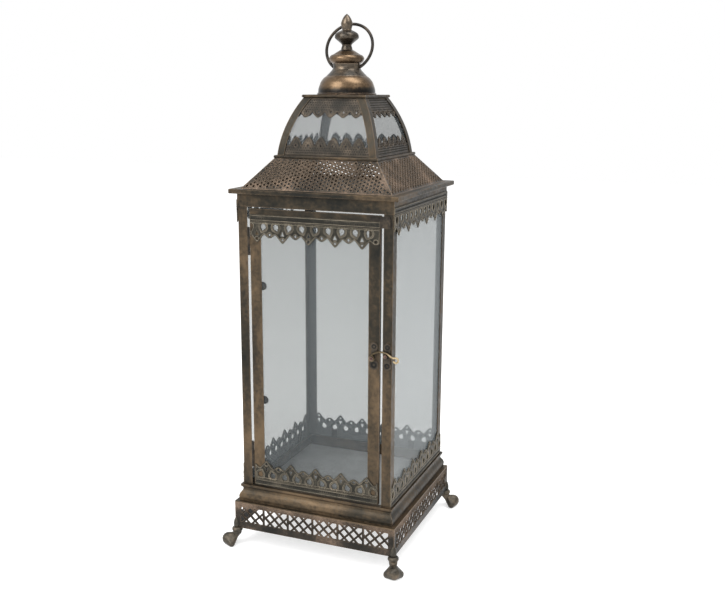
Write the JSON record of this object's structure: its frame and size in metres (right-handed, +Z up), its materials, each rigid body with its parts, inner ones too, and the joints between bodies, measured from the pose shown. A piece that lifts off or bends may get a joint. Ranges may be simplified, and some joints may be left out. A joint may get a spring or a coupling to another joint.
{
  "type": "candle lantern",
  "caption": "Tall square floor lantern for candles: pierced plinth on feet, glazed body, hinged glass door with hook latch, perforated roof, curved cupola, finial with ring.",
  "frame": {"origin": "centre of the plan, on the plane of the four feet", "axes": "+Z up, the door faces -Y, +X is on the latch side of the door"},
  "size_m": [0.3004, 0.3004, 0.7947],
  "materials": {
    "bronze_sheet": "aged bronze finish on sheet steel",
    "cast_bronze": "aged bronze finish on cast metal",
    "trim_metal": "dark pewter finish on stamped sheet",
    "copper_finish": "worn copper and bronze finish",
    "grey_metal": "dull grey",
    "latch_brass": "worn brass",
    "dark_iron": "dark bronze",
    "plain_steel": "plain",
    "glass": "clear"
  },
  "bodies": {
    "lantern": {"foot_front_left": "cast_bronze", "foot_front_right": "cast_bronze", "foot_back_right": "cast_bronze", "foot_back_left": "cast_bronze", "plinth_front": "bronze_sheet", "plinth_right": "bronze_sheet", "plinth_back": "bronze_sheet", "plinth_left": "bronze_sheet", "deck_plate": "bronze_sheet", "floor_tray": "grey_metal", "sill": "bronze_sheet", "post_front_left": "bronze_sheet", "post_front_right": "bronze_sheet", "post_back_right": "bronze_sheet", "post_back_left": "bronze_sheet", "fascia": "bronze_sheet", "eave": "bronze_sheet", "pane_left": "glass", "pane_right": "glass", "pane_back": "glass", "pane_clips": "dark_iron", "side_trims_top": "trim_metal", "side_trims_bottom": "trim_metal", "roof_front": "bronze_sheet", "roof_right": "bronze_sheet", "roof_back": "bronze_sheet", "roof_left": "bronze_sheet", "roof_ring": "bronze_sheet", "cupola_ribs": "bronze_sheet", "cupola_glass_front": "glass", "cupola_glass_right": "glass", "cupola_glass_back": "glass", "cupola_glass_left": "glass", "cupola_trims_top": "trim_metal", "cupola_trims_bottom": "trim_metal", "cap_plate": "bronze_sheet", "dome": "copper_finish", "neck": "copper_finish", "flange": "copper_finish", "finial": "copper_finish", "tie_rod": "plain_steel", "tie_nut": "plain_steel", "hinge_post_leaves": "dark_iron", "hinge_pins": "dark_iron", "keeper_plate": "dark_iron", "keeper_peg": "latch_brass"},
    "door": {"door_frame": "bronze_sheet", "door_glass": "glass", "door_trim_top": "trim_metal", "door_trim_bottom": "trim_metal", "door_glass_clips": "dark_iron", "hinge_door_leaves": "dark_iron", "latch_plate": "dark_iron", "latch_rivet": "latch_brass", "door_stop": "dark_iron"},
    "hook": {"hook": "latch_brass"},
    "ring": {"ring_handle": "dark_iron"}
  },
  "joints": [
    {"name": "door_hinge", "type": "hinge", "parent": "lantern", "child": "door", "pos_m": [-0.10275, -0.119, 0.31], "axis": [0, 0, -1], "range_deg": [0, 120]},
    {"name": "hook_swing", "type": "hinge", "parent": "door", "child": "hook", "pos_m": [0.0899, -0.1219, 0.3206], "axis": [0, -1, 0], "range_deg": [0, 110]},
    {"name": "ring_swing", "type": "hinge", "parent": "lantern", "child": "ring", "pos_m": [0, 0, 0.72047], "axis": [-1, 0, 0], "range_deg": [-10, 104]}
  ]
}
